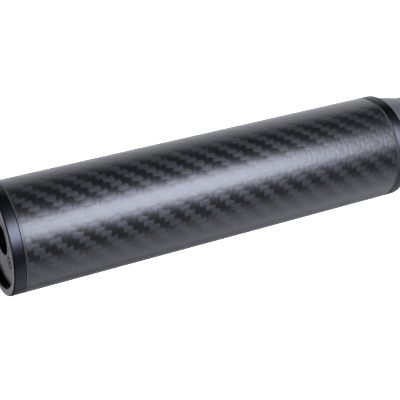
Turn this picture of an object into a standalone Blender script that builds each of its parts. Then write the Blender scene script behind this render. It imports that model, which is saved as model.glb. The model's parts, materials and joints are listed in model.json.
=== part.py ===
"""A slim sealed canister, standing upright: a carbon-fibre sleeve over an aluminium liner, between two black
anodised collars, with a recessed screw lid at the top and a weighted, tapered base at the bottom.

Metres, +Z up. The origin is the centre of the underside, where the canister stands.
"""

import math

import bmesh
import bpy
from mathutils import Matrix

MM = 0.001
GAP = 0.3 * MM  # between any two pieces that touch or slide
SEGMENTS = 36
RING_SECTION_SEGMENTS = 6

# Tube
TUBE_RADIUS = 20.5 * MM
SLEEVE_LENGTH = 152.6 * MM
SLEEVE_WALL = 1.5 * MM
LINER_WALL = 1.7 * MM
ISOLATION_THICKNESS = 0.5 * MM
EDGE_CHAMFER = 1.0 * MM
SMALL_CHAMFER = 0.3 * MM

# Base
FOOT_PAD_WEB = 0.8 * MM  # rubber left above the washers
NECK_INSET = 3.4 * MM
NECK_HEIGHT = 14.0 * MM
NECK_SLEEVE_WALL = 1.5 * MM
TAPER_HEIGHT = 12.0 * MM
SHOULDER_STEP = 1.0 * MM
BASE_COLLAR_HEIGHT = 4.6 * MM
BASE_SPIGOT_HEIGHT = 16.0 * MM
BASE_GROOVE_DEPTH = 5.0 * MM  # from the spigot's top to the groove
FLOOR_PAD_THICKNESS = 5.0 * MM

# Top collar
TOP_COLLAR_HEIGHT = 4.3 * MM
RIM_WIDTH = 2.8 * MM
RIM_CHAMFER = 0.4 * MM
COLLAR_SPIGOT_HEIGHT = 13.7 * MM
COLLAR_TENON_HEIGHT = 6.0 * MM
COLLAR_TENON_WALL = 1.0 * MM
GASKET_THICKNESS = 1.0 * MM

# Lid
LID_RECESS = 2.4 * MM
LID_FACE_WEB = 0.9 * MM  # left under the screw heads
THRUST_WASHER_THICKNESS = 0.5 * MM
LID_FLOOR = 2.4 * MM  # solid between the well and the pad screw
LID_LAND = 1.2 * MM
LID_PLATE_THICKNESS = 1.5 * MM
LID_PAD_THICKNESS = 5.0 * MM
RING_SECTION = 1.6 * MM

# Key well, a blind recess in the lid
WELL_LIP = 1.5 * MM  # from the plug's top to the circlip's groove
SEAL_THICKNESS = 1.0 * MM
SEAL_BORE = 3.0 * MM
SOCKET_HEIGHT = 5.0 * MM
SOCKET_FLOOR = 1.0 * MM
SOCKET_WALL = 0.9 * MM
KEY_ACROSS_FLATS = 8.0 * MM
CIRCLIP_THICKNESS = 0.8 * MM
CIRCLIP_BITE = 0.7 * MM  # how far it stands into the wall of the well
CIRCLIP_LEDGE = 0.9 * MM  # how far it stands out of the wall
CIRCLIP_MOUTH = 4.0 * MM

# Fasteners: radius and height of the head, radius and length of the shank, across flats of its hex
LID_SCREW = (1.9 * MM, 2.0 * MM, 1.0 * MM, 7.0 * MM, 1.5 * MM)
LID_SCREW_COUNT = 4
LID_SCREW_WALL = 2.6 * MM  # between the tapped holes and the ring's groove
LID_SCREW_FIRST = math.radians(21)
FOOT_SCREW = (2.75 * MM, 1.6 * MM, 1.5 * MM, 10.0 * MM, 2.0 * MM)
FOOT_SCREW_COUNT = 3
FOOT_SCREW_CIRCLE = 9.0 * MM
FOOT_SCREW_FIRST = math.radians(90)
FOOT_SCREW_SUNK = 0.5 * MM
WASHER_THICKNESS = 0.5 * MM
WASHER_RADIUS = 3.2 * MM
PAD_SCREW = (3.8 * MM, 2.2 * MM, 2.0 * MM, 6.0 * MM, 2.5 * MM)
HEX_SHARE = 0.6  # depth of a screw's hex, as a share of its head

# Radii that follow from the fits
SLEEVE_BORE = TUBE_RADIUS - SLEEVE_WALL
LINER_RADIUS = SLEEVE_BORE - GAP
LINER_BORE = LINER_RADIUS - LINER_WALL
SPIGOT_RADIUS = LINER_BORE - GAP
MOUTH_RADIUS = SPIGOT_RADIUS - COLLAR_TENON_WALL
LID_RADIUS = MOUTH_RADIUS - GAP
RECESS_RADIUS = TUBE_RADIUS - RIM_WIDTH
LID_FACE_RADIUS = RECESS_RADIUS - GAP
NECK_RADIUS = TUBE_RADIUS - NECK_INSET
GROOVE_WIDTH = RING_SECTION + 2 * GAP
LID_GROOVE_RADIUS = LID_RADIUS - RING_SECTION - GAP
LID_SCREW_CIRCLE = LID_GROOVE_RADIUS - LID_SCREW_WALL - GAP - LID_SCREW[2]
WELL_RADIUS = KEY_ACROSS_FLATS / 2 / math.cos(math.pi / 6) + SOCKET_WALL + GAP
CIRCLIP_RADIUS = WELL_RADIUS + CIRCLIP_BITE - GAP
CIRCLIP_BORE = WELL_RADIUS - CIRCLIP_LEDGE

# Heights that follow from the stack, from the ground up
FOOT_SCREW_SEAT = FOOT_SCREW_SUNK + FOOT_SCREW[1]
FOOT_PAD_THICKNESS = FOOT_SCREW_SEAT + 2 * GAP + WASHER_THICKNESS + FOOT_PAD_WEB
PLUG_BOTTOM = FOOT_PAD_THICKNESS + GAP
SHOULDER = NECK_HEIGHT + TAPER_HEIGHT
BASE_COLLAR_BOTTOM = SHOULDER + GAP
BASE_COLLAR_TOP = BASE_COLLAR_BOTTOM + BASE_COLLAR_HEIGHT
LINER_BOTTOM = BASE_COLLAR_TOP + GAP
SLEEVE_BOTTOM = LINER_BOTTOM + ISOLATION_THICKNESS + GAP
SLEEVE_TOP = SLEEVE_BOTTOM + SLEEVE_LENGTH
TOP_COLLAR_BOTTOM = SLEEVE_TOP + 2 * GAP + ISOLATION_THICKNESS
RIM = TOP_COLLAR_BOTTOM + TOP_COLLAR_HEIGHT
COLLAR_SHOULDER = TOP_COLLAR_BOTTOM - COLLAR_SPIGOT_HEIGHT
LINER_TOP = COLLAR_SHOULDER - 2 * GAP - GASKET_THICKNESS
COLLAR_BOTTOM = COLLAR_SHOULDER - COLLAR_TENON_HEIGHT
BASE_PLUG_TOP = SHOULDER + BASE_SPIGOT_HEIGHT
LID_FACE_TOP = RIM - LID_RECESS
LID_SCREW_SEAT = LID_FACE_TOP - LID_SCREW[1]
LID_FACE_BOTTOM = LID_SCREW_SEAT - GAP - LID_FACE_WEB
LID_SEAT = LID_FACE_BOTTOM - 2 * GAP - THRUST_WASHER_THICKNESS
LID_PLUG_TOP = LID_FACE_BOTTOM - GAP
LID_GROOVE_TOP = LID_PLUG_TOP - LID_LAND
CIRCLIP_BOTTOM = LID_PLUG_TOP - WELL_LIP - GAP - CIRCLIP_THICKNESS
SOCKET_TOP = CIRCLIP_BOTTOM - GAP
SOCKET_BOTTOM = SOCKET_TOP - SOCKET_HEIGHT
WELL_FLOOR = SOCKET_BOTTOM - 2 * GAP - SEAL_THICKNESS
PAD_HOLE_DEPTH = PAD_SCREW[3] - LID_PLATE_THICKNESS - GAP
LID_PLUG_BOTTOM = WELL_FLOOR - LID_FLOOR - PAD_HOLE_DEPTH
LID_PLATE_TOP = LID_PLUG_BOTTOM - GAP
LID_PLATE_BOTTOM = LID_PLATE_TOP - LID_PLATE_THICKNESS
LID_PAD_TOP = LID_PLATE_BOTTOM - GAP

ANODISED = ((0.018, 0.018, 0.022), 0.32, 0.9)
CARBON = ((0.045, 0.05, 0.058), 0.25, 0.2)
ALUMINIUM = ((0.66, 0.67, 0.69), 0.35, 1.0)
STEEL = ((0.56, 0.57, 0.58), 0.28, 1.0)
BLACK_STEEL = ((0.03, 0.03, 0.032), 0.4, 0.9)
RUBBER = ((0.02, 0.02, 0.021), 0.75, 0.0)
NITRILE = ((0.012, 0.012, 0.012), 0.55, 0.0)
FOAM = ((0.09, 0.09, 0.1), 0.95, 0.0)
NYLON = ((0.05, 0.05, 0.05), 0.5, 0.0)
GLASS_FIBRE = ((0.03, 0.031, 0.03), 0.45, 0.0)
PTFE = ((0.85, 0.85, 0.83), 0.4, 0.0)


def clear_scene():
    for obj in list(bpy.data.objects):
        bpy.data.objects.remove(obj)


def collection(name):
    made = bpy.data.collections.new(name)
    bpy.context.scene.collection.children.link(made)
    return made


def material(name, finish):
    colour, roughness, metallic = finish
    made = bpy.data.materials.new(name)
    made.use_nodes = True
    shader = made.node_tree.nodes["Principled BSDF"]
    shader.inputs["Base Color"].default_value = (*colour, 1)
    shader.inputs["Roughness"].default_value = roughness
    shader.inputs["Metallic"].default_value = metallic
    return made


def add_turned(name, profile, into, closed=False, segments=SEGMENTS):
    """A turned solid. The profile is (radius, height) points, down the outer side from the top."""
    mesh = bpy.data.meshes.new(name)
    edges = [(i, i + 1) for i in range(len(profile) - 1)]
    if closed:
        edges.append((len(profile) - 1, 0))
    mesh.from_pydata([(r, 0, z) for r, z in profile], edges, [])
    obj = bpy.data.objects.new(name, mesh)
    into.objects.link(obj)
    screw = obj.modifiers.new("Turn", "SCREW")
    screw.axis = "Z"
    screw.steps = screw.render_steps = segments
    screw.use_merge_vertices = True
    screw.merge_threshold = 0.000001
    screw.use_smooth_shade = False
    return obj


def disc(radius, top, bottom, chamfer=0):
    """The profile of a solid round piece."""
    if not chamfer:
        return [(0, top), (radius, top), (radius, bottom), (0, bottom)]
    return [
        (0, top),
        (radius - chamfer, top),
        (radius, top - chamfer),
        (radius, bottom + chamfer),
        (radius - chamfer, bottom),
        (0, bottom),
    ]


def tube(radius, bore, top, bottom):
    """The closed profile of a plain ring or tube."""
    return [(bore, top), (radius, top), (radius, bottom), (bore, bottom)]


def ring_section(radius, height):
    """The closed profile of an O-ring whose outside is at the radius."""
    half = RING_SECTION / 2
    points = []
    for i in range(RING_SECTION_SEGMENTS):
        angle = math.pi / 2 - 2 * math.pi * (i + 0.5) / RING_SECTION_SEGMENTS
        points.append((radius - half + half * math.cos(angle), height + half * math.sin(angle)))
    return points


def add_prism(name, across_flats, top, bottom, into):
    """A hexagonal prism, standing on the axis."""
    corner = across_flats / 2 / math.cos(math.pi / 6)
    mesh = bpy.data.meshes.new(name)
    shape = bmesh.new()
    bmesh.ops.create_cone(
        shape,
        cap_ends=True,
        segments=6,
        radius1=corner,
        radius2=corner,
        depth=top - bottom,
        matrix=Matrix.Translation((0, 0, (top + bottom) / 2)),
    )
    shape.to_mesh(mesh)
    shape.free()
    obj = bpy.data.objects.new(name, mesh)
    into.objects.link(obj)
    return obj


def cut(target, cutter):
    cutter.hide_render = True
    cutter.display_type = "WIRE"
    modifier = target.modifiers.new(f"Cut {cutter.name}", "BOOLEAN")
    modifier.operation = "DIFFERENCE"
    modifier.object = cutter


def on_circle(count, radius, first):
    """Places evenly round the axis."""
    angles = [first + 2 * math.pi * i / count for i in range(count)]
    return [(radius * math.cos(a), radius * math.sin(a), 0) for a in angles]


def baked_mesh(obj):
    """The object's mesh with its modifiers applied, in place of the object."""
    bpy.context.view_layer.update()
    graph = bpy.context.evaluated_depsgraph_get()
    mesh = bpy.data.meshes.new_from_object(obj.evaluated_get(graph))
    bpy.data.objects.remove(obj)
    return mesh


clear_scene()
parts = collection("slim_canister")
cutters = collection("cutters")


def add_part(name, profile, finish, closed=False):
    obj = add_turned(name, profile, parts, closed)
    obj.data.materials.append(material(name, finish))
    return obj


def add_copies(name, mesh, finish, places):
    """One object for each place, all sharing the mesh."""
    mesh.name = name
    mesh.materials.clear()
    mesh.materials.append(material(name, finish))
    for number, place in enumerate(places, 1):
        obj = bpy.data.objects.new(f"{name}_{number}", mesh)
        obj.location = place
        parts.objects.link(obj)


def screw_mesh(name, size, seat, points_up):
    """A socket screw on the axis. Its head rests on the seat, and its shank runs the other way."""
    head_radius, head_height, shank_radius, length, across_flats = size
    way = 1 if points_up else -1
    head_top = seat - way * head_height
    tip = seat + way * length
    profile = [
        (0, head_top),
        (head_radius - SMALL_CHAMFER, head_top),
        (head_radius, head_top + way * SMALL_CHAMFER),
        (head_radius, seat),
        (shank_radius, seat),
        (shank_radius, tip - way * SMALL_CHAMFER),
        (shank_radius - SMALL_CHAMFER, tip),
        (0, tip),
    ]
    if points_up:
        profile.reverse()
    screw = add_turned(name, profile, parts, segments=SEGMENTS // 3)
    hex_floor = head_top + way * HEX_SHARE * head_height
    ends = sorted([hex_floor, head_top - way * head_height])
    socket = add_prism(f"{name}_hex", across_flats, ends[1], ends[0], cutters)
    cut(screw, socket)
    mesh = baked_mesh(screw)
    bpy.data.objects.remove(socket)
    return mesh


def drill(target, name, profile, places):
    for number, place in enumerate(places, 1):
        hole = add_turned(f"{name}_{number}", profile, cutters, segments=SEGMENTS // 3)
        hole.location = place
        cut(target, hole)


def add_tube():
    add_part("carbon_sleeve", tube(TUBE_RADIUS, SLEEVE_BORE, SLEEVE_TOP, SLEEVE_BOTTOM), CARBON, closed=True)
    add_part("liner_tube", tube(LINER_RADIUS, LINER_BORE, LINER_TOP, LINER_BOTTOM), ALUMINIUM, closed=True)
    for name, bottom, finish in (
        ("top_isolation_ring", SLEEVE_TOP + GAP, NYLON),
        ("base_isolation_ring", LINER_BOTTOM, GLASS_FIBRE),
    ):
        ring = tube(TUBE_RADIUS, SLEEVE_BORE, bottom + ISOLATION_THICKNESS, bottom)
        add_part(name, ring, finish, closed=True)


def add_top_collar():
    profile = [
        (RECESS_RADIUS + SMALL_CHAMFER, RIM),
        (TUBE_RADIUS - RIM_CHAMFER, RIM),
        (TUBE_RADIUS, RIM - RIM_CHAMFER),
        (TUBE_RADIUS, TOP_COLLAR_BOTTOM),
        (LINER_RADIUS, TOP_COLLAR_BOTTOM),
        (LINER_RADIUS, COLLAR_SHOULDER),
        (SPIGOT_RADIUS, COLLAR_SHOULDER),
        (SPIGOT_RADIUS, COLLAR_BOTTOM),
        (MOUTH_RADIUS, COLLAR_BOTTOM),
        (MOUTH_RADIUS, LID_SEAT),
        (RECESS_RADIUS, LID_SEAT),
        (RECESS_RADIUS, RIM - SMALL_CHAMFER),
    ]
    add_part("top_collar", profile, ANODISED, closed=True)
    gasket_top = COLLAR_SHOULDER - GAP
    gasket = tube(LINER_RADIUS, LINER_BORE, gasket_top, gasket_top - GASKET_THICKNESS)
    add_part("collar_gasket", gasket, NITRILE, closed=True)


def add_base():
    collar = tube(TUBE_RADIUS, LINER_BORE, BASE_COLLAR_TOP, BASE_COLLAR_BOTTOM)
    add_part("base_collar", collar, ANODISED, closed=True)

    groove_top = BASE_PLUG_TOP - BASE_GROOVE_DEPTH
    groove_radius = SPIGOT_RADIUS - RING_SECTION - GAP
    core_radius = NECK_RADIUS - NECK_SLEEVE_WALL - GAP
    profile = [
        (0, BASE_PLUG_TOP),
        (SPIGOT_RADIUS, BASE_PLUG_TOP),
        (SPIGOT_RADIUS, groove_top),
        (groove_radius, groove_top),
        (groove_radius, groove_top - GROOVE_WIDTH),
        (SPIGOT_RADIUS, groove_top - GROOVE_WIDTH),
        (SPIGOT_RADIUS, SHOULDER),
        (TUBE_RADIUS - SHOULDER_STEP, SHOULDER),
        (NECK_RADIUS, NECK_HEIGHT),
        (core_radius, NECK_HEIGHT),
        (core_radius, PLUG_BOTTOM),
        (0, PLUG_BOTTOM),
    ]
    base_plug = add_part("base_plug", profile, ANODISED)
    ring = ring_section(SPIGOT_RADIUS, groove_top - GROOVE_WIDTH / 2)
    add_part("base_o_ring", ring, NITRILE, closed=True)
    pad_bottom = BASE_PLUG_TOP + GAP
    floor_pad = disc(SPIGOT_RADIUS, pad_bottom + FLOOR_PAD_THICKNESS, pad_bottom)
    add_part("floor_pad", floor_pad, FOAM)
    neck_sleeve = tube(NECK_RADIUS, NECK_RADIUS - NECK_SLEEVE_WALL, NECK_HEIGHT - GAP, PLUG_BOTTOM)
    add_part("neck_sleeve", neck_sleeve, RUBBER, closed=True)
    foot_pad = add_part("foot_pad", disc(NECK_RADIUS, FOOT_PAD_THICKNESS, 0, SMALL_CHAMFER), RUBBER)

    head_radius, _, shank_radius, length, _ = FOOT_SCREW
    places = on_circle(FOOT_SCREW_COUNT, FOOT_SCREW_CIRCLE, FOOT_SCREW_FIRST)
    washer_bottom = FOOT_SCREW_SEAT + GAP
    recess_top = washer_bottom + WASHER_THICKNESS + GAP
    hole_radius = shank_radius + GAP
    recess_radius = max(head_radius, WASHER_RADIUS) + GAP
    recess = [
        (0, FOOT_PAD_THICKNESS + GAP),
        (hole_radius, FOOT_PAD_THICKNESS + GAP),
        (hole_radius, recess_top),
        (recess_radius, recess_top),
        (recess_radius, -GAP),
        (0, -GAP),
    ]
    drill(foot_pad, "foot_recess", recess, places)
    tapped = disc(hole_radius, FOOT_SCREW_SEAT + length + GAP, PLUG_BOTTOM - GAP)
    drill(base_plug, "foot_tapping", tapped, places)
    foot_screw = screw_mesh("foot_screw", FOOT_SCREW, FOOT_SCREW_SEAT, True)
    add_copies("foot_screw", foot_screw, STEEL, places)
    washer = tube(WASHER_RADIUS, hole_radius, washer_bottom + WASHER_THICKNESS, washer_bottom)
    washer = add_turned("foot_washer", washer, parts, closed=True, segments=SEGMENTS // 3)
    add_copies("foot_washer", baked_mesh(washer), STEEL, places)


def add_lid():
    head_radius, _, shank_radius, length, _ = LID_SCREW
    places = on_circle(LID_SCREW_COUNT, LID_SCREW_CIRCLE, LID_SCREW_FIRST)
    profile = [
        (WELL_RADIUS + SMALL_CHAMFER, LID_FACE_TOP),
        (LID_FACE_RADIUS - SMALL_CHAMFER, LID_FACE_TOP),
        (LID_FACE_RADIUS, LID_FACE_TOP - SMALL_CHAMFER),
        (LID_FACE_RADIUS, LID_FACE_BOTTOM),
        (WELL_RADIUS, LID_FACE_BOTTOM),
        (WELL_RADIUS, LID_FACE_TOP - SMALL_CHAMFER),
    ]
    lid_face = add_part("lid_face", profile, ANODISED, closed=True)
    hole_radius = shank_radius + GAP
    counterbore = [
        (0, LID_FACE_TOP + GAP),
        (head_radius + GAP, LID_FACE_TOP + GAP),
        (head_radius + GAP, LID_SCREW_SEAT - GAP),
        (hole_radius, LID_SCREW_SEAT - GAP),
        (hole_radius, LID_FACE_BOTTOM - GAP),
        (0, LID_FACE_BOTTOM - GAP),
    ]
    drill(lid_face, "lid_counterbore", counterbore, places)

    groove_bottom = LID_GROOVE_TOP - GROOVE_WIDTH
    clip_radius = WELL_RADIUS + CIRCLIP_BITE
    clip_top = CIRCLIP_BOTTOM + CIRCLIP_THICKNESS + GAP
    pad_hole_radius = PAD_SCREW[2] + GAP
    pad_hole_top = LID_PLUG_BOTTOM + PAD_HOLE_DEPTH
    profile = [
        (WELL_RADIUS, LID_PLUG_TOP),
        (LID_RADIUS, LID_PLUG_TOP),
        (LID_RADIUS, LID_GROOVE_TOP),
        (LID_GROOVE_RADIUS, LID_GROOVE_TOP),
        (LID_GROOVE_RADIUS, groove_bottom),
        (LID_RADIUS, groove_bottom),
        (LID_RADIUS, LID_PLUG_BOTTOM + EDGE_CHAMFER),
        (LID_RADIUS - EDGE_CHAMFER, LID_PLUG_BOTTOM),
        (pad_hole_radius, LID_PLUG_BOTTOM),
        (pad_hole_radius, pad_hole_top),
        (0, pad_hole_top),
    ]
    well = [
        (0, WELL_FLOOR),
        (WELL_RADIUS, WELL_FLOOR),
        (WELL_RADIUS, SOCKET_TOP),
        (clip_radius, SOCKET_TOP),
        (clip_radius, clip_top),
        (WELL_RADIUS, clip_top),
    ]
    lid_plug = add_part("lid_plug", well + profile, ALUMINIUM)
    tapped = disc(hole_radius, LID_PLUG_TOP + GAP, LID_SCREW_SEAT - length - GAP)
    drill(lid_plug, "lid_tapping", tapped, places)
    lid_screw = screw_mesh("lid_screw", LID_SCREW, LID_SCREW_SEAT, False)
    add_copies("lid_screw", lid_screw, BLACK_STEEL, places)

    ring = ring_section(LID_RADIUS, LID_GROOVE_TOP - GROOVE_WIDTH / 2)
    add_part("lid_o_ring", ring, NITRILE, closed=True)
    washer_bottom = LID_SEAT + GAP
    washer = tube(LID_FACE_RADIUS, MOUTH_RADIUS, washer_bottom + THRUST_WASHER_THICKNESS, washer_bottom)
    add_part("thrust_washer", washer, PTFE, closed=True)

    plate = tube(LID_RADIUS, pad_hole_radius, LID_PLATE_TOP, LID_PLATE_BOTTOM)
    add_part("lid_inner_plate", plate, ALUMINIUM, closed=True)
    lid_pad = tube(LID_RADIUS, PAD_SCREW[0] + GAP, LID_PAD_TOP, LID_PAD_TOP - LID_PAD_THICKNESS)
    add_part("lid_pad", lid_pad, FOAM, closed=True)
    pad_screw = screw_mesh("pad_screw", PAD_SCREW, LID_PLATE_BOTTOM - GAP, True)
    pad_screw.materials.clear()
    pad_screw.materials.append(material("pad_screw", STEEL))
    parts.objects.link(bpy.data.objects.new("pad_screw", pad_screw))


def add_key_well():
    fit_radius = WELL_RADIUS - GAP
    seal_bottom = WELL_FLOOR + GAP
    seal = tube(fit_radius, SEAL_BORE, seal_bottom + SEAL_THICKNESS, seal_bottom)
    add_part("socket_seal", seal, NITRILE, closed=True)
    key_socket = add_part("key_socket", disc(fit_radius, SOCKET_TOP, SOCKET_BOTTOM), STEEL)
    hexagon = add_prism(
        "key_hexagon",
        KEY_ACROSS_FLATS,
        SOCKET_TOP + GAP,
        SOCKET_BOTTOM + SOCKET_FLOOR,
        cutters,
    )
    cut(key_socket, hexagon)

    clip_top = CIRCLIP_BOTTOM + CIRCLIP_THICKNESS
    clip = tube(CIRCLIP_RADIUS, CIRCLIP_BORE, clip_top, CIRCLIP_BOTTOM)
    clip = add_part("socket_circlip", clip, BLACK_STEEL, closed=True)
    mesh = bpy.data.meshes.new("circlip_mouth")
    shape = bmesh.new()
    bmesh.ops.create_cube(shape, size=1)
    size = (CIRCLIP_MOUTH, 2 * CIRCLIP_RADIUS, 4 * CIRCLIP_THICKNESS)
    bmesh.ops.scale(shape, vec=size, verts=shape.verts)
    shape.to_mesh(mesh)
    shape.free()
    mouth = bpy.data.objects.new("circlip_mouth", mesh)
    mouth.location = (0, -CIRCLIP_RADIUS, CIRCLIP_BOTTOM + CIRCLIP_THICKNESS / 2)
    cutters.objects.link(mouth)
    cut(clip, mouth)


add_tube()
add_top_collar()
add_base()
add_lid()
add_key_well()
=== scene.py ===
"""The finish of the slim sealed canister: every piece in its fine shape and its real material.

Metres, +Z up, in the frame's own place. Each piece takes its size from the frame's node that it stands for.
"""

import json
import math
from collections import namedtuple

import bpy
from mathutils import Matrix, Quaternion, Vector


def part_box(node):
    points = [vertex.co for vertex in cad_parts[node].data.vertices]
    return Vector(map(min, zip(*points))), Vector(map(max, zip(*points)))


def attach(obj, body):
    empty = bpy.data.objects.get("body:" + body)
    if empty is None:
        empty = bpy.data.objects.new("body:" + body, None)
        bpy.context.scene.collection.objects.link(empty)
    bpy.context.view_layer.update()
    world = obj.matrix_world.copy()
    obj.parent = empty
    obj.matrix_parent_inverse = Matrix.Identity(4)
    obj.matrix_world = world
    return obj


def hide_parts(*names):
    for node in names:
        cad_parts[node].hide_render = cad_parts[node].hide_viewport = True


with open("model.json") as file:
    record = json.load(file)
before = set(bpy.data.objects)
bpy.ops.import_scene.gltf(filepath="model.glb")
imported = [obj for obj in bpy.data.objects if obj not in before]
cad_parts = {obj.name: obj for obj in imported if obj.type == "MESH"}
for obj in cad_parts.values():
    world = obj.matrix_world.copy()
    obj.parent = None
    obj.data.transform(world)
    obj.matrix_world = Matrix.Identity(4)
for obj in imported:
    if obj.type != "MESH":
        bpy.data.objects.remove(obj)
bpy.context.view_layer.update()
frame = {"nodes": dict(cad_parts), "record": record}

MM = 0.001
GAP = 0.3 * MM  # the clearance between neighbours in the frame
SEAM = 0.06 * MM  # what shows of a closed joint
FINE = 192  # segments round a large piece
SMALL = 48  # segments round a screw or a washer
ARC_STEPS = 8  # in a quarter or half turn of a profile
CORNER_POINTS = 5  # what rounded() makes of each corner
PAST = 1.0 * MM  # how far a cutting tool stands out of what it cuts
SMOOTH_BELOW = math.radians(32)

# Broken edges
EDGE = 0.2 * MM
TURNED_EDGE = 0.12 * MM
CUT_EDGE = 0.1 * MM
SLEEVE_EDGE = 0.04 * MM
RIM_CHAMFER = 0.4 * MM
BASE_COLLAR_ROUND = 1.1 * MM
LID_FACE_CHAMFER = 0.3 * MM
LID_PLUG_CHAMFER = 1.0 * MM

# Screw threads of the lid and its collar
THREAD_PITCH = 2.0 * MM
THREAD_DEPTH = 0.7 * MM
THREAD_STEPS = 10  # profile points in one pitch
CREST_FLAT = 7 / 26  # share of the pitch
ROOT_FLAT = 4 / 26
THREAD_CLEAR_OF_SEAT = 3.4 * MM

RING_SECTION = 1.6 * MM  # of both O-rings
RING_SIDES = 16
RING_LAND = 0.6 * MM  # plain wall under the lid's groove
ISOLATION_INSET = 0.02 * MM  # of the two rings beside the sleeve
ISOLATION_EDGE = 0.03 * MM
KEY_ACROSS_FLATS = 8.0 * MM
SOCKET_FLOOR = 1.0 * MM
CIRCLIP_MOUTH = 4.0 * MM
CIRCLIP_EDGE = 0.08 * MM

# Rubber at the base
HOLLOW_COUNT = 5  # between the ribs
RIB_DEPTH = 0.5 * MM
RIB_EDGE = 0.15 * MM
RIB_SHARE = 0.35  # half the height of a rib's hollow, as a share of the ribs' spacing
PAD_EDGE = 0.45 * MM
PAD_RING_FROM_EDGE = 3.0 * MM  # the groove round the foot's underside
PAD_RING_WIDTH = 1.2 * MM
PAD_RING_DEPTH = 0.5 * MM
PAD_RING_SLOPE = 0.3 * MM

# Foam pads
CROWN_RISE = 0.5 * MM
SIDE_PULL = 0.35 * MM
FOAM_EDGE = 0.3 * MM
FOAM_STEPS = 14

# Carbon cloth
TOW = 2.05 * MM  # width of one tow of the cloth along the tube
TOWS_AROUND = 60
LOOSENESS = 0.22  # how far a tow wanders from its place, in tows
DRIFT = 3.85 * MM  # between one lean of the tows and the next
CROWN = 0.12 * MM
COAT_CROWN = 0.04 * MM  # what the resin shows of the tows under it

# Grain of the other materials
CLOUD = 8.3 * MM
WEAR_PATCH = 2.5 * MM
# How far sharp edges go paler, partly as wear and partly as a painted highlight
EDGE_WEAR_AND_HIGHLIGHT = 0.55
TOOL_MARK = 0.004 * MM
DUST = 11.1 * MM
RUBBER_GRAIN = 0.03 * MM
FOAM_CELL = 0.8 * MM
CELL_DEPTH = 0.15 * MM
POLYMER_GRAIN = 0.01 * MM

FLOOR_DROP = 0.02 * MM  # keeps the floor clear of the foot's underside

BODIES = frame["record"]["behaviour"]["bodies"]


# ---- reading the frame ----

def low(node):
    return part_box(node)[0]


def high(node):
    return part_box(node)[1]


def middle(node):
    """Where the node's own axis stands."""
    return ((low(node)[0] + high(node)[0]) / 2, (low(node)[1] + high(node)[1]) / 2)


def bore(node):
    """The smallest radius that the node's surface has about its own axis."""
    x, y = middle(node)
    return min(math.hypot(v.co.x - x, v.co.y - y) for v in frame["nodes"][node].data.vertices)


def radius(node):
    return (high(node)[0] - low(node)[0]) / 2


def halfway_up(node):
    return (high(node)[2] + low(node)[2]) / 2


# ---- shapes ----

def rounded(profile, size, steps=CORNER_POINTS - 1):
    """The profile with an arc of that size at each corner off the axis."""
    points = []
    count = len(profile)
    for i, point in enumerate(profile):
        here = Vector(point)
        before = Vector(profile[i - 1]) - here
        after = Vector(profile[(i + 1) % count]) - here
        reach = min(size, before.length * 0.45, after.length * 0.45)
        straight = before.normalized().dot(after.normalized()) < -0.999
        if here.x < 1e-6 or straight or reach < 1e-6:
            points.append(tuple(here))
            continue
        start = here + before.normalized() * reach
        end = here + after.normalized() * reach
        for step in range(steps + 1):
            t = step / steps
            at = start * (1 - t) ** 2 + here * (2 * t * (1 - t)) + end * t ** 2
            points.append(tuple(at))
    return points


def lathe(name, profile, segments=FINE, thread=None):
    """A closed turned surface. The profile goes down the outside, round the underside and up inside.

    thread gives how far a point moves outwards, from its angle, its radius and its height.
    """
    count = len(profile)
    on_axis = [r < 1e-6 for r, _ in profile]
    vertices, index = [], {}
    for i, (r, z) in enumerate(profile):
        for j in range(1 if on_axis[i] else segments):
            angle = 2 * math.pi * j / segments
            out = r + (thread(angle, r, z) if thread and not on_axis[i] else 0)
            index[i, j] = len(vertices)
            vertices.append((out * math.cos(angle), out * math.sin(angle), z))
    faces = []
    for i in range(count):
        k = (i + 1) % count
        if on_axis[i] and on_axis[k]:
            continue
        for j in range(segments):
            n = (j + 1) % segments
            a, b = index[i, 0 if on_axis[i] else j], index[i, 0 if on_axis[i] else n]
            c, d = index[k, 0 if on_axis[k] else n], index[k, 0 if on_axis[k] else j]
            face = [a, d, c, b]
            faces.append([v for m, v in enumerate(face) if v not in face[:m]])
    mesh = bpy.data.meshes.new(name)
    mesh.from_pydata(vertices, [], faces)
    obj = bpy.data.objects.new(name, mesh)
    bpy.context.scene.collection.objects.link(obj)
    return obj


def tube_profile(outer, inner, top, bottom):
    return [(outer, top), (outer, bottom), (inner, bottom), (inner, top)]


def plain_ring(node, name, material, edge=CUT_EDGE, segments=FINE):
    """The node's own ring, with its edges broken."""
    shape = tube_profile(radius(node), bore(node), high(node)[2], low(node)[2])
    place(moved(lathe(name, rounded(shape, edge), segments), *middle(node)), node, material)


def o_ring(node, name):
    """A moulded ring of round section."""
    height, half = halfway_up(node), RING_SECTION / 2
    turns = [-2 * math.pi * i / RING_SIDES for i in range(RING_SIDES)]
    shape = [(radius(node) - half + half * math.cos(t), height + half * math.sin(t)) for t in turns]
    place(lathe(name, shape), node, NITRILE)


def cut(obj, tool):
    """Takes the tool's shape out of the piece and removes the tool."""
    boolean = obj.modifiers.new("Cut", "BOOLEAN")
    boolean.operation = "DIFFERENCE"
    boolean.object = tool
    bpy.context.view_layer.update()
    graph = bpy.context.evaluated_depsgraph_get()
    mesh = bpy.data.meshes.new_from_object(obj.evaluated_get(graph))
    obj.modifiers.clear()
    obj.data = mesh
    bpy.data.objects.remove(tool)


def hexagon(across_flats, top, bottom):
    """A tool for a hexagon socket, with a lead-in chamfer at its mouth."""
    corner = across_flats / 2 / math.cos(math.pi / 6)
    lead = corner * 0.12
    profile = [
        (0, top + lead),
        (corner + 2 * lead, top + lead),
        (corner, top - lead),
        (corner, bottom),
        (0, bottom - lead),
    ]
    return lathe("hexagon", profile, segments=6)


def moved(obj, x, y):
    obj.location = (x, y, 0)
    return obj


def drill(obj, profile, node):
    """Cuts a turned tool out of the piece, on the node's own axis."""
    cut(obj, moved(lathe("tool", profile, SMALL), *middle(node)))


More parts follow.
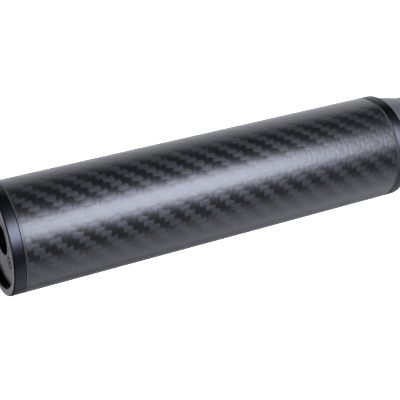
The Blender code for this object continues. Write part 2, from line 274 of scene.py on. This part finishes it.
def place(obj, node, material):
    """Gives the piece its material and its ride, and lets it stand for the node."""
    mesh = obj.data
    mesh.materials.clear()
    mesh.materials.append(material)
    mesh.shade_smooth()
    mesh.set_sharp_from_angle(angle=SMOOTH_BELOW)
    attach(obj, next(body for body, nodes in BODIES.items() if node in nodes))
    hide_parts(node)


# ---- materials ----

def linear(code):
    """An sRGB hex colour as linear RGBA."""
    parts = [int(code[i:i + 2], 16) / 255 for i in (0, 2, 4)]
    return (*(c / 12.92 if c <= 0.04045 else ((c + 0.055) / 1.055) ** 2.4 for c in parts), 1)


def add(tree, kind, sockets=(), out=None, **settings):
    """Adds a node and gives one output. Sockets come in order or by name, as values or as outputs to link."""
    made = tree.nodes.new("ShaderNode" + kind)
    for name, setting in settings.items():
        setattr(made, name, setting)
    open_inputs = [socket for socket in made.inputs if socket.enabled]
    if isinstance(sockets, dict):
        named = {socket.name: socket for socket in open_inputs}
        pairs = [(named[name], value) for name, value in sockets.items()]
    else:
        pairs = zip(open_inputs, sockets)
    for socket, value in pairs:
        if isinstance(value, bpy.types.NodeSocket):
            tree.links.new(value, socket)
        else:
            socket.default_value = value
    return made.outputs[out] if out else next(socket for socket in made.outputs if socket.enabled)


def new_material(name, **sockets):
    """A material whose shader's sockets are set, with its tree."""
    material = bpy.data.materials.new(name)
    material.use_nodes = True
    tree = material.node_tree
    for key, value in sockets.items():
        tree.nodes["Principled BSDF"].inputs[key.replace("_", " ")].default_value = value
    return material, tree


def finish_with(tree, **outputs):
    """Links outputs to the shader's sockets."""
    for key, output in outputs.items():
        tree.links.new(output, tree.nodes["Principled BSDF"].inputs[key.replace("_", " ")])


def mottle(tree, size, detail):
    """Noise all through the piece, with blotches of that size."""
    place_at = add(tree, "TexCoord", out="Object")
    return add(tree, "TexNoise", {"Vector": place_at, "Scale": 1 / size, "Detail": detail})


def around_axis(tree):
    """The angle about the tube's axis, the distance from it and the height."""
    parts = add(tree, "SeparateXYZ", [add(tree, "TexCoord", out="Object")]).node.outputs
    flat = add(tree, "CombineXYZ", [parts["X"], parts["Y"]])
    distance = add(tree, "VectorMath", [flat], out="Value", operation="LENGTH")
    opposite = add(tree, "VectorMath", {"Vector": flat, "Scale": -1}, operation="SCALE")
    turned = add(tree, "SeparateXYZ", [opposite]).node.outputs
    return add(tree, "Math", [turned["X"], turned["Y"]], operation="ARCTAN2"), distance, parts["Z"]


def turned_metal(name, colour, wear_and_highlight, roughness, spacing, metallic=1.0):
    """Turned metal: fine rings from the tool spread the highlight, and its sharp edges go paler, partly as
    wear and partly as a painted highlight.
    """
    material, tree = new_material(name, Metallic=metallic)
    _, distance, height = around_axis(tree)
    across = add(tree, "CombineXYZ", [distance, height])
    ring_sockets = {"Vector": across, "Scale": 1 / spacing, "Detail": 2.0, "Roughness": 0.6}
    rings = add(tree, "TexNoise", ring_sockets, noise_dimensions="2D")
    cloud = mottle(tree, CLOUD, 3.0)
    patches = mottle(tree, WEAR_PATCH, 4.0)
    tint = add(tree, "MapRange", [cloud, 0.3, 0.7, 0.0, 0.35])
    tone = add(tree, "Mix", [tint, linear(colour), linear(wear_and_highlight)], data_type="RGBA")
    sharp = add(tree, "NewGeometry", out="Pointiness")
    # Sharp edges lean to the paler colour: partly wear, partly a painted highlight where the light would
    # catch them.
    edge = add(tree, "MapRange", [sharp, 0.53, 0.62, 0.0, EDGE_WEAR_AND_HIGHLIGHT])
    broken = add(tree, "MapRange", [patches, 0.35, 0.65, 0.2, 1.0])
    share = add(tree, "Math", [edge, broken], operation="MULTIPLY")
    ring_rough = add(tree, "MapRange", [rings, 0.0, 1.0, -0.06, 0.06])
    cloud_rough = add(tree, "MapRange", [cloud, 0.0, 1.0, roughness - 0.03, roughness + 0.04])
    finish_with(
        tree,
        Base_Color=add(tree, "Mix", [share, tone, linear(wear_and_highlight)], data_type="RGBA"),
        Roughness=add(tree, "Math", [ring_rough, cloud_rough], operation="ADD"),
        Normal=add(tree, "Bump", {"Height": rings, "Distance": TOOL_MARK}),
    )
    return material


def tow_crown(tree, across, phase, start):
    """How high a tow stands: round across its width, and dipping under its neighbours at its ends."""
    width = add(tree, "Math", [across], operation="FRACT")
    width = add(tree, "Math", [width, math.pi], operation="MULTIPLY")
    width = add(tree, "Math", [width], operation="SINE")
    width = add(tree, "Math", [width, 0.8], operation="POWER")
    length = add(tree, "Math", [phase, start], operation="SUBTRACT")
    length = add(tree, "Math", [length, math.pi / 2], operation="MULTIPLY")
    length = add(tree, "Math", [length], operation="SINE")
    length = add(tree, "Math", [length, 0.6], operation="POWER")
    return add(tree, "Math", [width, length], operation="MULTIPLY")


def tow_filaments(tree, around, along, around_scale, along_scale, seed):
    """Streaks along the tow, about eight to its width. Real filaments are finer and wouldn't show."""
    first = add(tree, "Math", [around, around_scale], operation="MULTIPLY")
    second = add(tree, "Math", [along, along_scale], operation="MULTIPLY")
    vector = add(tree, "CombineXYZ", [first, second, seed])
    return add(tree, "TexNoise", {"Vector": vector, "Scale": 1.0, "Detail": 3.0})


def tow_phase(tree, own, other):
    """Where a point lies in the repeat of four tows, stepping by one tow from each tow to the next."""
    step = add(tree, "Math", [other], operation="FLOOR")
    both = add(tree, "Math", [own, step], operation="ADD")
    return add(tree, "Math", [both, 4.0], operation="MODULO")


def tow_tone(tree, across, seed):
    """The small difference from one tow to the next."""
    number = add(tree, "Math", [across], operation="FLOOR")
    vector = add(tree, "CombineXYZ", [number, seed])
    return add(tree, "TexWhiteNoise", [vector], noise_dimensions="2D")


def carbon_twill():
    """2x2 twill of 3K carbon tows under satin resin: lengthwise and hoop tows catch the light apart, and the
    resin lays one broad soft highlight over both."""
    material, tree = new_material(
        "clear_coated_carbon_twill",
        Metallic=0.75,
        Anisotropic=0.8,
        Coat_Weight=1.0,
        Coat_Roughness=0.33,
        Coat_IOR=1.5,
    )
    angle, _, height = around_axis(tree)
    place_at = add(tree, "TexCoord", out="Object")
    drift_sockets = {"Vector": place_at, "Scale": 1 / DRIFT, "Detail": 3.0}
    drift = add(tree, "TexNoise", drift_sockets, out="Color")
    lean = add(tree, "SeparateXYZ", [drift]).node.outputs
    turns = add(tree, "Math", [angle, TOWS_AROUND / (2 * math.pi)], operation="MULTIPLY")
    turns = add(tree, "Math", [turns, TOWS_AROUND / 2], operation="ADD")
    rows = add(tree, "Math", [height, TOW], operation="DIVIDE")
    sway = [add(tree, "MapRange", [lean[way], 0.3, 0.7, -LOOSENESS, LOOSENESS]) for way in "XY"]
    around = add(tree, "Math", [turns, sway[0]], operation="ADD")
    along = add(tree, "Math", [rows, sway[1]], operation="ADD")

    long_phase, hoop_phase = tow_phase(tree, along, around), tow_phase(tree, around, along)
    long_on_top = add(tree, "Math", [long_phase, 2.0], operation="LESS_THAN")
    long_relief = tow_crown(tree, around, long_phase, 0.0)
    hoop_relief = tow_crown(tree, along, hoop_phase, 2.0)
    long_streaks = tow_filaments(tree, around, along, 8.0, 0.4, 3.0)
    hoop_streaks = tow_filaments(tree, around, along, 0.4, 8.0, 7.0)
    long_tone, hoop_tone = tow_tone(tree, around, 9.0), tow_tone(tree, along, 5.0)
    relief = add(tree, "Mix", [long_on_top, hoop_relief, long_relief])
    filaments = add(tree, "Mix", [long_on_top, hoop_streaks, long_streaks])
    tones = add(tree, "Mix", [long_on_top, hoop_tone, long_tone])

    # Painted sheen: the lengthwise tows are coloured paler than the hoop tows, for how differently the two
    # catch the light.
    painted_sheen_tow_colour = add(tree, "Mix", [long_on_top, linear("1a1a1c"), linear("242528")], data_type="RGBA")
    streak_shade = add(tree, "MapRange", [filaments, 0.3, 0.7, 0.7, 1.2])
    tow_shade = add(tree, "MapRange", [tones, 0.0, 1.0, -0.1, 0.12])
    shade = add(tree, "Math", [streak_shade, tow_shade], operation="ADD")
    # Painted shade: the tows' colour darkens towards their edges and where they dip under their neighbours.
    depth = add(tree, "MapRange", [relief, 0.0, 0.7, 0.5, 1.0])
    grey = add(tree, "Math", [shade, depth], operation="MULTIPLY")
    finish_with(
        tree,
        Base_Color=add(tree, "Mix", [grey, linear("121214"), painted_sheen_tow_colour], data_type="RGBA"),
        Roughness=add(tree, "MapRange", [filaments, 0.3, 0.7, 0.36, 0.5]),
        Anisotropic_Rotation=add(tree, "MapRange", [long_on_top, 0.0, 1.0, 0.25, 0.0]),
        Tangent=add(tree, "Tangent", direction_type="RADIAL", axis="Z"),
        Normal=add(tree, "Bump", {"Height": relief, "Distance": CROWN, "Strength": 0.5}),
        Coat_Normal=add(tree, "Bump", {"Height": relief, "Distance": COAT_CROWN, "Strength": 0.4}),
    )
    return material


def moulded_rubber(name, colour, roughness, grain):
    """Moulded rubber: matt, with the fine grain of an eroded mould and a little dust in it."""
    material, tree = new_material(name, Specular_IOR_Level=0.35)
    fine = mottle(tree, grain, 2.0)
    dust = add(tree, "MapRange", [mottle(tree, DUST, 5.0), 0.45, 0.8, 0.0, 0.5])
    finish_with(
        tree,
        Base_Color=add(tree, "Mix", [dust, linear(colour), linear("4a4b4d")], data_type="RGBA"),
        Roughness=add(tree, "MapRange", [fine, 0.0, 1.0, roughness - 0.08, roughness + 0.08]),
        Normal=add(tree, "Bump", {"Height": fine, "Distance": RUBBER_GRAIN}),
    )
    return material


def closed_cell_foam():
    """Cut polyethylene foam: small closed cells, matt, with painted shade darkening the hollow of each cell.
    """
    material, tree = new_material("closed_cell_foam", Roughness=0.95, Sheen_Weight=0.2)
    place_at = add(tree, "TexCoord", out="Object")
    cells = add(tree, "TexVoronoi", {"Vector": place_at, "Scale": 1 / FOAM_CELL}, out="Distance")
    # Painted shade: darker towards the middle of each cell, which the bump sinks into a hollow.
    painted_cell_shade = add(tree, "MapRange", [cells, 0.1, 0.7, 0.0, 1.0])
    finish_with(
        tree,
        Base_Color=add(tree, "Mix", [painted_cell_shade, linear("35363a"), linear("4a4b50")], data_type="RGBA"),
        Normal=add(tree, "Bump", {"Height": cells, "Distance": CELL_DEPTH}),
    )
    return material


def cut_polymer(name, colour, other, roughness, size):
    """A cut or pressed polymer: waxy, with a faint mottle and light that sinks in a little."""
    sunk = {"Subsurface_Weight": 0.05, "Subsurface_Scale": 0.5 * MM, "Subsurface_Radius": (1, 1, 1)}
    material, tree = new_material(name, **sunk)
    patches = mottle(tree, size, 4.0)
    finish_with(
        tree,
        Base_Color=add(tree, "Mix", [patches, linear(colour), linear(other)], data_type="RGBA"),
        Roughness=add(tree, "MapRange", [patches, 0.0, 1.0, roughness - 0.06, roughness + 0.06]),
        Normal=add(tree, "Bump", {"Height": patches, "Distance": POLYMER_GRAIN}),
    )
    return material


CARBON = carbon_twill()
# The second colour of each metal is what its sharp edges go to, partly worn and partly a painted highlight,
# and where its cloudy tone drifts.
ANODISED = turned_metal("black_anodised_aluminium", "323236", "3e3e43", 0.35, 0.25 * MM)
FACE = turned_metal("black_anodised_face", "2a2a2f", "38383e", 0.38, 0.4 * MM)
GREY_ANODISED = turned_metal("grey_anodised_aluminium", "5a5c5f", "77797c", 0.4, 0.25 * MM, 0.7)
ALUMINIUM = turned_metal("clear_anodised_aluminium", "c3c5c9", "d8dadd", 0.3, 0.25 * MM)
STAINLESS = turned_metal("stainless_steel", "b4b4b2", "cfcfcd", 0.25, 0.15 * MM)
BLACK_STEEL = turned_metal("black_oxide_steel", "17181a", "3a3b3d", 0.38, 0.15 * MM, 0.8)
RUBBER = moulded_rubber("moulded_rubber", "131315", 0.72, 0.25 * MM)
NITRILE = moulded_rubber("greased_nitrile", "0e0e0f", 0.42, 0.4 * MM)
FOAM = closed_cell_foam()
PTFE = cut_polymer("ptfe_sheet", "e6e6e2", "dadad4", 0.4, 1.5 * MM)
NYLON = cut_polymer("black_nylon", "1d1d20", "242428", 0.34, 0.8 * MM)
GLASS_FIBRE = cut_polymer("glass_fibre_laminate", "1a1b1b", "161717", 0.62, 0.5 * MM)


# ---- tube and collars ----

def thread(crest, start, stop, way):
    """How far a threaded wall stands from its crest: flats and flanks, fading in and out at the ends.

    way is 1 in a bore and -1 on a shaft.
    """
    def depth(angle, r, z):
        if abs(r - crest) > 1e-6 or not start < z < stop:
            return 0
        phase = abs((z / THREAD_PITCH - angle / (2 * math.pi)) % 1 - 0.5)
        flank = 0.5 - (CREST_FLAT + ROOT_FLAT) / 2
        cut_in = min(max((phase - CREST_FLAT / 2) / flank, 0), 1)
        fade = min(1, (z - start) / THREAD_PITCH, (stop - z) / THREAD_PITCH)
        return way * THREAD_DEPTH * cut_in * fade
    return depth


def threaded_wall(r, top, bottom):
    """Points down a wall, close enough for its thread."""
    steps = round((top - bottom) / THREAD_PITCH * THREAD_STEPS)
    return [(r, top + (bottom - top) * i / steps) for i in range(steps + 1)]


RIM = high("top_collar")[2]
TUBE = radius("carbon_sleeve")
LINER = radius("liner_tube")
SPIGOT = radius("floor_pad")
MOUTH = bore("thrust_washer")
RECESS = radius("lid_face") + GAP


def make_tube():
    top, bottom = high("carbon_sleeve")[2] + GAP - SEAM, low("carbon_sleeve")[2]
    sleeve = tube_profile(TUBE, bore("carbon_sleeve"), top, bottom)
    place(lathe("carbon_sleeve_wound", rounded(sleeve, SLEEVE_EDGE)), "carbon_sleeve", CARBON)
    plain_ring("liner_tube", "liner_tube_turned", ALUMINIUM, EDGE)
    rings = (
        ("top_isolation_ring", NYLON, GAP / 2, 0),
        ("base_isolation_ring", GLASS_FIBRE, GAP - SEAM, GAP - SEAM),
    )
    for node, material, up, down in rings:
        top, bottom = high(node)[2] + up, low(node)[2] - down
        shape = tube_profile(TUBE - ISOLATION_INSET, bore(node), top, bottom)
        place(lathe(f"{node}_pressed", rounded(shape, ISOLATION_EDGE)), node, material)


def make_top_collar():
    bottom = low("top_collar")[2]
    seat = low("thrust_washer")[2] - GAP
    shoulder = high("collar_gasket")[2] + GAP
    flange = high("top_isolation_ring")[2] + GAP
    outside = [
        (RECESS + EDGE, RIM),
        (TUBE - RIM_CHAMFER, RIM),
        (TUBE, RIM - RIM_CHAMFER),
        (TUBE, flange),
        (LINER, flange),
        (LINER, shoulder),
        (SPIGOT, shoulder),
        (SPIGOT, bottom),
        (MOUTH, bottom),
    ]
    thread_top = seat - THREAD_CLEAR_OF_SEAT
    wall = threaded_wall(MOUTH, thread_top, bottom)
    wall.reverse()
    recess = [(MOUTH, seat), (RECESS, seat), (RECESS, RIM - EDGE)]
    # The last corner keeps two of its five points, and the threaded wall starts there
    shape = rounded(outside, EDGE)[:-3] + wall + recess
    cut_thread = thread(MOUTH, bottom, thread_top, 1)
    place(lathe("top_collar_turned", shape, thread=cut_thread), "top_collar", ANODISED)
    plain_ring("collar_gasket", "collar_gasket_cut", NITRILE)


def make_base_collar():
    node = "base_collar"
    top, bottom, far = high(node)[2], low(node)[2], BASE_COLLAR_ROUND
    turns = [math.pi / 2 * i / ARC_STEPS for i in range(ARC_STEPS + 1)]
    arc = [(TUBE - far * (1 - math.cos(t)), bottom + far * (1 - math.sin(t))) for t in turns]
    shape = rounded(tube_profile(TUBE, bore(node), top, bottom), EDGE)
    shape[CORNER_POINTS:2 * CORNER_POINTS] = arc
    place(lathe("base_collar_turned", shape), node, ANODISED)


def make_base_plug():
    node = "base_plug"
    top, bottom = high(node)[2], low(node)[2]
    ring_z = halfway_up("base_o_ring")
    groove, half = SPIGOT - RING_SECTION - GAP, RING_SECTION / 2 + GAP
    shoulder = low("base_collar")[2] - GAP
    neck_top = high("neck_sleeve")[2] + GAP
    core = bore("neck_sleeve") - GAP
    profile = [
        (0, top),
        (SPIGOT, top),
        (SPIGOT, ring_z + half),
        (groove, ring_z + half),
        (groove, ring_z - half),
        (SPIGOT, ring_z - half),
        (SPIGOT, shoulder),
        (radius(node), shoulder),
        (radius("neck_sleeve"), neck_top),
        (core, neck_top),
        (core, bottom),
        (0, bottom),
    ]
    plug = lathe("base_plug_turned", rounded(profile, EDGE))
    hole = SCREWS["foot_screw"].shank + GAP
    for screw in screw_names("foot_screw"):
        end = high(screw)[2] + GAP
        drill(plug, [(0, end), (hole, end), (hole, bottom - PAST), (0, bottom - PAST)], screw)
    place(plug, node, GREY_ANODISED)
    o_ring("base_o_ring", "base_o_ring_moulded")


def make_neck_sleeve():
    node = "neck_sleeve"
    outer, top, bottom = radius(node), high(node)[2], low(node)[2]
    step = (top - bottom) / (HOLLOW_COUNT + 1)
    ribs = [(outer, top)]
    for i in range(HOLLOW_COUNT):
        hollow = top - step * (i + 1)
        for k in range(ARC_STEPS + 1):
            turn = math.pi * k / ARC_STEPS
            rise = RIB_SHARE * step * math.cos(turn)
            ribs.append((outer - RIB_DEPTH * math.sin(turn), hollow + rise))
    ribs += [(outer, bottom), (bore(node), bottom), (bore(node), top)]
    place(lathe("neck_sleeve_ribbed", rounded(ribs, RIB_EDGE)), node, RUBBER)


def make_foot():
    node = "foot_pad"
    outer, top, bottom = radius(node), high(node)[2], low(node)[2]
    groove = outer - PAD_RING_FROM_EDGE
    inner = groove - PAD_RING_WIDTH
    ceiling = bottom + PAD_RING_DEPTH
    profile = [
        (0, top),
        (outer, top),
        (outer, bottom),
        (groove, bottom),
        (groove - PAD_RING_SLOPE, ceiling),
        (inner + PAD_RING_SLOPE, ceiling),
        (inner, bottom),
        (0, bottom),
    ]
    pad = lathe("foot_pad_moulded", rounded(profile, PAD_EDGE))
    lead, under = 0.6 * MM, 0.4 * MM
    for number in range(1, SCREWS["foot_screw"].count + 1):
        washer = f"foot_washer_{number}"
        wide, narrow, seat = radius(washer) + GAP, bore(washer), high(washer)[2] + GAP
        recess = [
            (0, top + PAST),
            (narrow, top + PAST),
            (narrow, seat),
            (wide, seat),
            (wide, bottom + lead - under),
            (wide + lead, bottom - under),
            (0, bottom - under),
        ]
        drill(pad, recess, washer)
        plain_ring(washer, f"foot_washer_pressed_{number}", STAINLESS, segments=SMALL)
    place(pad, node, RUBBER)


# ---- screws ----

HEX_SHARE = 0.6  # depth of the hexagon, as a share of the head
HEAD_CHAMFER = 0.25 * MM
TIP_CHAMFER = 0.35 * MM
TIP_LENGTH = 0.4 * MM

# head is its height, shank its radius, and way says where the shank points
Screw = namedtuple("Screw", "head shank across_flats way count material")
SCREWS = {
    "lid_screw": Screw(2.0 * MM, 1.0 * MM, 1.5 * MM, "down", 4, BLACK_STEEL),
    "foot_screw": Screw(1.6 * MM, 1.5 * MM, 2.0 * MM, "up", 3, STAINLESS),
    "pad_screw": Screw(2.2 * MM, 2.0 * MM, 2.5 * MM, "up", 1, STAINLESS),
}


def screw_names(kind):
    """The nodes of that kind of screw, which are numbered if there are several."""
    count = SCREWS[kind].count
    return [f"{kind}_{number}" for number in range(1, count + 1)] if count > 1 else [kind]


def make_screw(node, stock):
    """A socket screw, turned with its head up and then turned over if its shank points up."""
    wide, shank = radius(node), stock.shank
    length = high(node)[2] - low(node)[2]
    profile = [
        (0, 0),
        (wide - HEAD_CHAMFER, 0),
        (wide, -HEAD_CHAMFER),
        (wide, -stock.head),
        (shank, -stock.head),
        (shank, -length + TIP_LENGTH),
        (shank - TIP_CHAMFER, -length),
        (0, -length),
    ]
    screw = lathe(node.replace("screw", "socket_screw"), rounded(profile, CUT_EDGE), SMALL)
    cut(screw, hexagon(stock.across_flats, 0, -HEX_SHARE * stock.head))
    if stock.way == "up":
        screw.data.transform(Matrix.Rotation(math.pi, 4, "X"))
    screw.location = (*middle(node), low(node)[2] if stock.way == "up" else high(node)[2])
    place(screw, node, stock.material)


# ---- lid ----

def make_lid_face():
    node = "lid_face"
    outer, top, bottom = radius(node), high(node)[2], low(node)[2]
    well, edge = bore(node), LID_FACE_CHAMFER
    profile = [
        (outer - edge, top),
        (outer, top - edge),
        (outer, bottom),
        (well, bottom),
        (well, top - edge),
        (well + edge, top),
    ]
    face = lathe("lid_face_turned", rounded(profile, TURNED_EDGE))
    stock, lead = SCREWS["lid_screw"], 0.25 * MM
    for screw in screw_names("lid_screw"):
        wide, narrow = radius(screw) + 0.2 * MM, stock.shank + GAP
        seat = high(screw)[2] - stock.head - GAP
        counterbore = [
            (0, top + PAST),
            (wide + lead + PAST, top + PAST),
            (wide, top - lead),
            (wide, seat),
            (narrow, seat),
            (narrow, bottom - PAST),
            (0, bottom - PAST),
        ]
        drill(face, counterbore, screw)
    place(face, node, FACE)


def make_lid_plug():
    node = "lid_plug"
    outer, top, bottom = radius(node), high(node)[2], low(node)[2]
    ring_z = halfway_up("lid_o_ring")
    groove, half = outer - RING_SECTION - GAP, RING_SECTION / 2 + GAP
    well, floor = radius("key_socket") + GAP, low("socket_seal")[2] - GAP
    clip = radius("socket_circlip") + GAP
    clip_low, clip_high = low("socket_circlip")[2] - GAP, high("socket_circlip")[2] + GAP
    pad_hole, pad_top = SCREWS["pad_screw"].shank + GAP, high("pad_screw")[2] + GAP
    land = ring_z - half - RING_LAND
    upper = [
        (well, top),
        (outer, top),
        (outer, ring_z + half),
        (groove, ring_z + half),
        (groove, ring_z - half),
        (outer, ring_z - half),
        (outer, land),
    ]
    thread_top, thread_bottom = land - CUT_EDGE, bottom + LID_PLUG_CHAMFER
    under = [(outer - LID_PLUG_CHAMFER, bottom), (pad_hole, bottom), (pad_hole, pad_top), (0, pad_top)]
    inside = [
        (0, floor),
        (well, floor),
        (well, clip_low),
        (clip, clip_low),
        (clip, clip_high),
        (well, clip_high),
    ]
    shape = rounded(upper, TURNED_EDGE) + threaded_wall(outer, thread_top, thread_bottom) + under + inside
    cut_thread = thread(outer, thread_bottom, thread_top, -1)
    plug = lathe("lid_plug_threaded", shape, thread=cut_thread)
    hole = SCREWS["lid_screw"].shank + GAP
    for screw in screw_names("lid_screw"):
        end = low(screw)[2] - GAP
        drill(plug, [(0, top + PAST), (hole, top + PAST), (hole, end), (0, end)], screw)
    place(plug, node, ALUMINIUM)
    o_ring("lid_o_ring", "lid_o_ring_moulded")
    plain_ring("thrust_washer", "thrust_washer_cut", PTFE)
    plain_ring("lid_inner_plate", "lid_inner_plate_turned", ALUMINIUM, LID_FACE_CHAMFER)


def make_key_well():
    node = "key_socket"
    wide, top, bottom = radius(node), high(node)[2], low(node)[2]
    blank = rounded([(0, top), (wide, top), (wide, bottom), (0, bottom)], EDGE)
    socket = lathe("key_socket_broached", blank)
    cut(socket, hexagon(KEY_ACROSS_FLATS, top, bottom + SOCKET_FLOOR))
    place(socket, node, STAINLESS)
    plain_ring("socket_seal", "socket_seal_cut", NITRILE)
    node = "socket_circlip"
    wide, top, bottom = radius(node), high(node)[2], low(node)[2]
    ring = rounded(tube_profile(wide, bore(node), top, bottom), CIRCLIP_EDGE)
    clip = lathe("socket_circlip_stamped", ring)
    half = CIRCLIP_MOUTH / 2
    mouth = [(0, top + PAST), (half, top + PAST), (half, bottom - PAST), (0, bottom - PAST)]
    cut(clip, moved(lathe("tool", mouth, SMALL), 0, -wide))
    place(clip, node, BLACK_STEEL)


# ---- foam ----

def foam_disc(node, inner, way):
    """A foam disc, cut a little crowned on its open face, with sides that pull in.

    way is 1 if the open face looks up and -1 if it looks down.
    """
    outer, top, bottom = radius(node), high(node)[2], low(node)[2]
    face, back = (top, bottom) if way > 0 else (bottom, top)
    shares = [i / FOAM_STEPS for i in range(FOAM_STEPS + 1)]
    crowned = [(inner + (outer - inner) * t, face - way * CROWN_RISE * t ** 2) for t in shares]
    edge = crowned[-1][1]
    falls = [i / ARC_STEPS for i in range(1, ARC_STEPS)]
    sides = [(outer - SIDE_PULL * math.sin(math.pi * t), edge + (back - edge) * t) for t in falls]
    profile = crowned + sides + [(outer, back), (inner, back)]
    if way < 0:
        profile.reverse()
    disc = lathe(f"{node}_foam", rounded(profile, FOAM_EDGE, 3))
    place(disc, node, FOAM)


make_tube()
make_top_collar()
make_base_collar()
make_base_plug()
make_neck_sleeve()
make_foot()
make_lid_face()
make_lid_plug()
make_key_well()
for kind, stock in SCREWS.items():
    for name in screw_names(kind):
        make_screw(name, stock)
foam_disc("floor_pad", 0.0, 1)
foam_disc("lid_pad", bore("lid_pad"), -1)


# ---- studio ----

def sweep():
    """A pale floor that curves up into a wall all round, so that no horizon shows."""
    reach, bend, wall = 2.4, 1.2, 3.0
    bend_steps, segments = 16, 96
    profile = [(0, -FLOOR_DROP), (reach, -FLOOR_DROP)]
    for i in range(1, bend_steps + 1):
        turn = math.pi / 2 * i / bend_steps
        profile.append((reach + bend * math.sin(turn), bend * (1 - math.cos(turn)) - FLOOR_DROP))
    profile.append((reach + bend, wall))
    turns = [2 * math.pi * j / segments for j in range(segments)]
    vertices = [(r * math.cos(t), r * math.sin(t), z) for r, z in profile for t in turns]
    faces = []
    for i in range(len(profile) - 1):
        for j in range(segments):
            n = (j + 1) % segments
            faces.append([i * segments + j, i * segments + n, (i + 1) * segments + n, (i + 1) * segments + j])
    mesh = bpy.data.meshes.new("studio_floor")
    mesh.from_pydata(vertices, [], faces)
    mesh.shade_smooth()
    floor = bpy.data.objects.new("studio_floor", mesh)
    bpy.context.scene.collection.objects.link(floor)
    # Matt white that also glows, so that it goes as pale as the empty picture round the canister
    glow = {"Emission_Color": (1, 1, 1, 1), "Emission_Strength": 0.86}
    material, _ = new_material("white_paper", Base_Color=linear("f4f4f4"), Roughness=0.9, **glow)
    mesh.materials.append(material)
    floor.visible_glossy = False
    floor.visible_shadow = False


def round_axis(degrees, distance, height):
    """A place at that angle from -Y about the axis, turning towards -X."""
    turn = math.radians(degrees)
    return (-distance * math.sin(turn), -distance * math.cos(turn), height)


# Place, width, height, power, colour and roll of each soft box
SOFT_BOXES = {
    "key": (round_axis(-6, 1.0, -0.18), 0.62, 0.9, 27.0, "e4e9fb", 15),
    "fill": (round_axis(95, 1.2, -0.3), 1.5, 1.6, 8.0, "ebeaf8", 0),
    "back": (round_axis(-145, 1.2, -0.3), 1.9, 1.6, 10.0, "eeeef8", 0),
    "far_side": (round_axis(165, 1.2, -0.3), 1.2, 1.6, 2.4, "eeeef8", 0),
    "overhead": ((0.2, 0.9, 0.9), 1.0, 0.9, 6.0, "f4f2f8", 0),
    "top": ((0, -0.3, 1.3), 0.9, 0.9, 2.6, "f4f2f8", 0),
}


def light_studio():
    """Soft boxes all round that face the middle of the tube, and a dim grey room."""
    aim = Vector((0, 0, 0.1))
    for name, (at, width, height, power, colour, roll) in SOFT_BOXES.items():
        light = bpy.data.lights.new(name, "AREA")
        light.shape = "RECTANGLE"
        light.size, light.size_y = width, height
        light.energy = power
        light.color = linear(colour)[:3]
        lamp = bpy.data.objects.new(name, light)
        lamp.location = at
        lamp.rotation_mode = "QUATERNION"
        facing = (aim - Vector(at)).to_track_quat("-Z", "Y")
        lamp.rotation_quaternion = facing @ Quaternion((0, 0, 1), math.radians(roll))
        lamp.visible_camera = False
        bpy.context.scene.collection.objects.link(lamp)
    world = bpy.data.worlds.new("studio")
    world.use_nodes = True
    background = world.node_tree.nodes["Background"]
    background.inputs["Color"].default_value = linear("8c9099")
    background.inputs["Strength"].default_value = 0.12
    bpy.context.scene.world = world


def aim_camera():
    """Looks down at the canister from the lid's side, turned so that it lies across the picture."""
    camera = bpy.data.cameras.new("camera")
    camera.lens = 101.0
    camera.sensor_width = 36.0
    camera.clip_start = 0.01
    eye = Vector((0, -0.3906, RIM + 0.0903))
    target = Vector((-0.0039, 0, 0.1099))
    shot = bpy.data.objects.new("camera", camera)
    shot.location = eye
    shot.rotation_mode = "QUATERNION"
    look = (target - eye).to_track_quat("-Z", "Y")
    shot.rotation_quaternion = look @ Quaternion((0, 0, 1), math.radians(-104.2))
    bpy.context.scene.collection.objects.link(shot)
    bpy.context.scene.camera = shot


sweep()
light_studio()
aim_camera()
bpy.context.scene.view_settings.view_transform = "Standard"
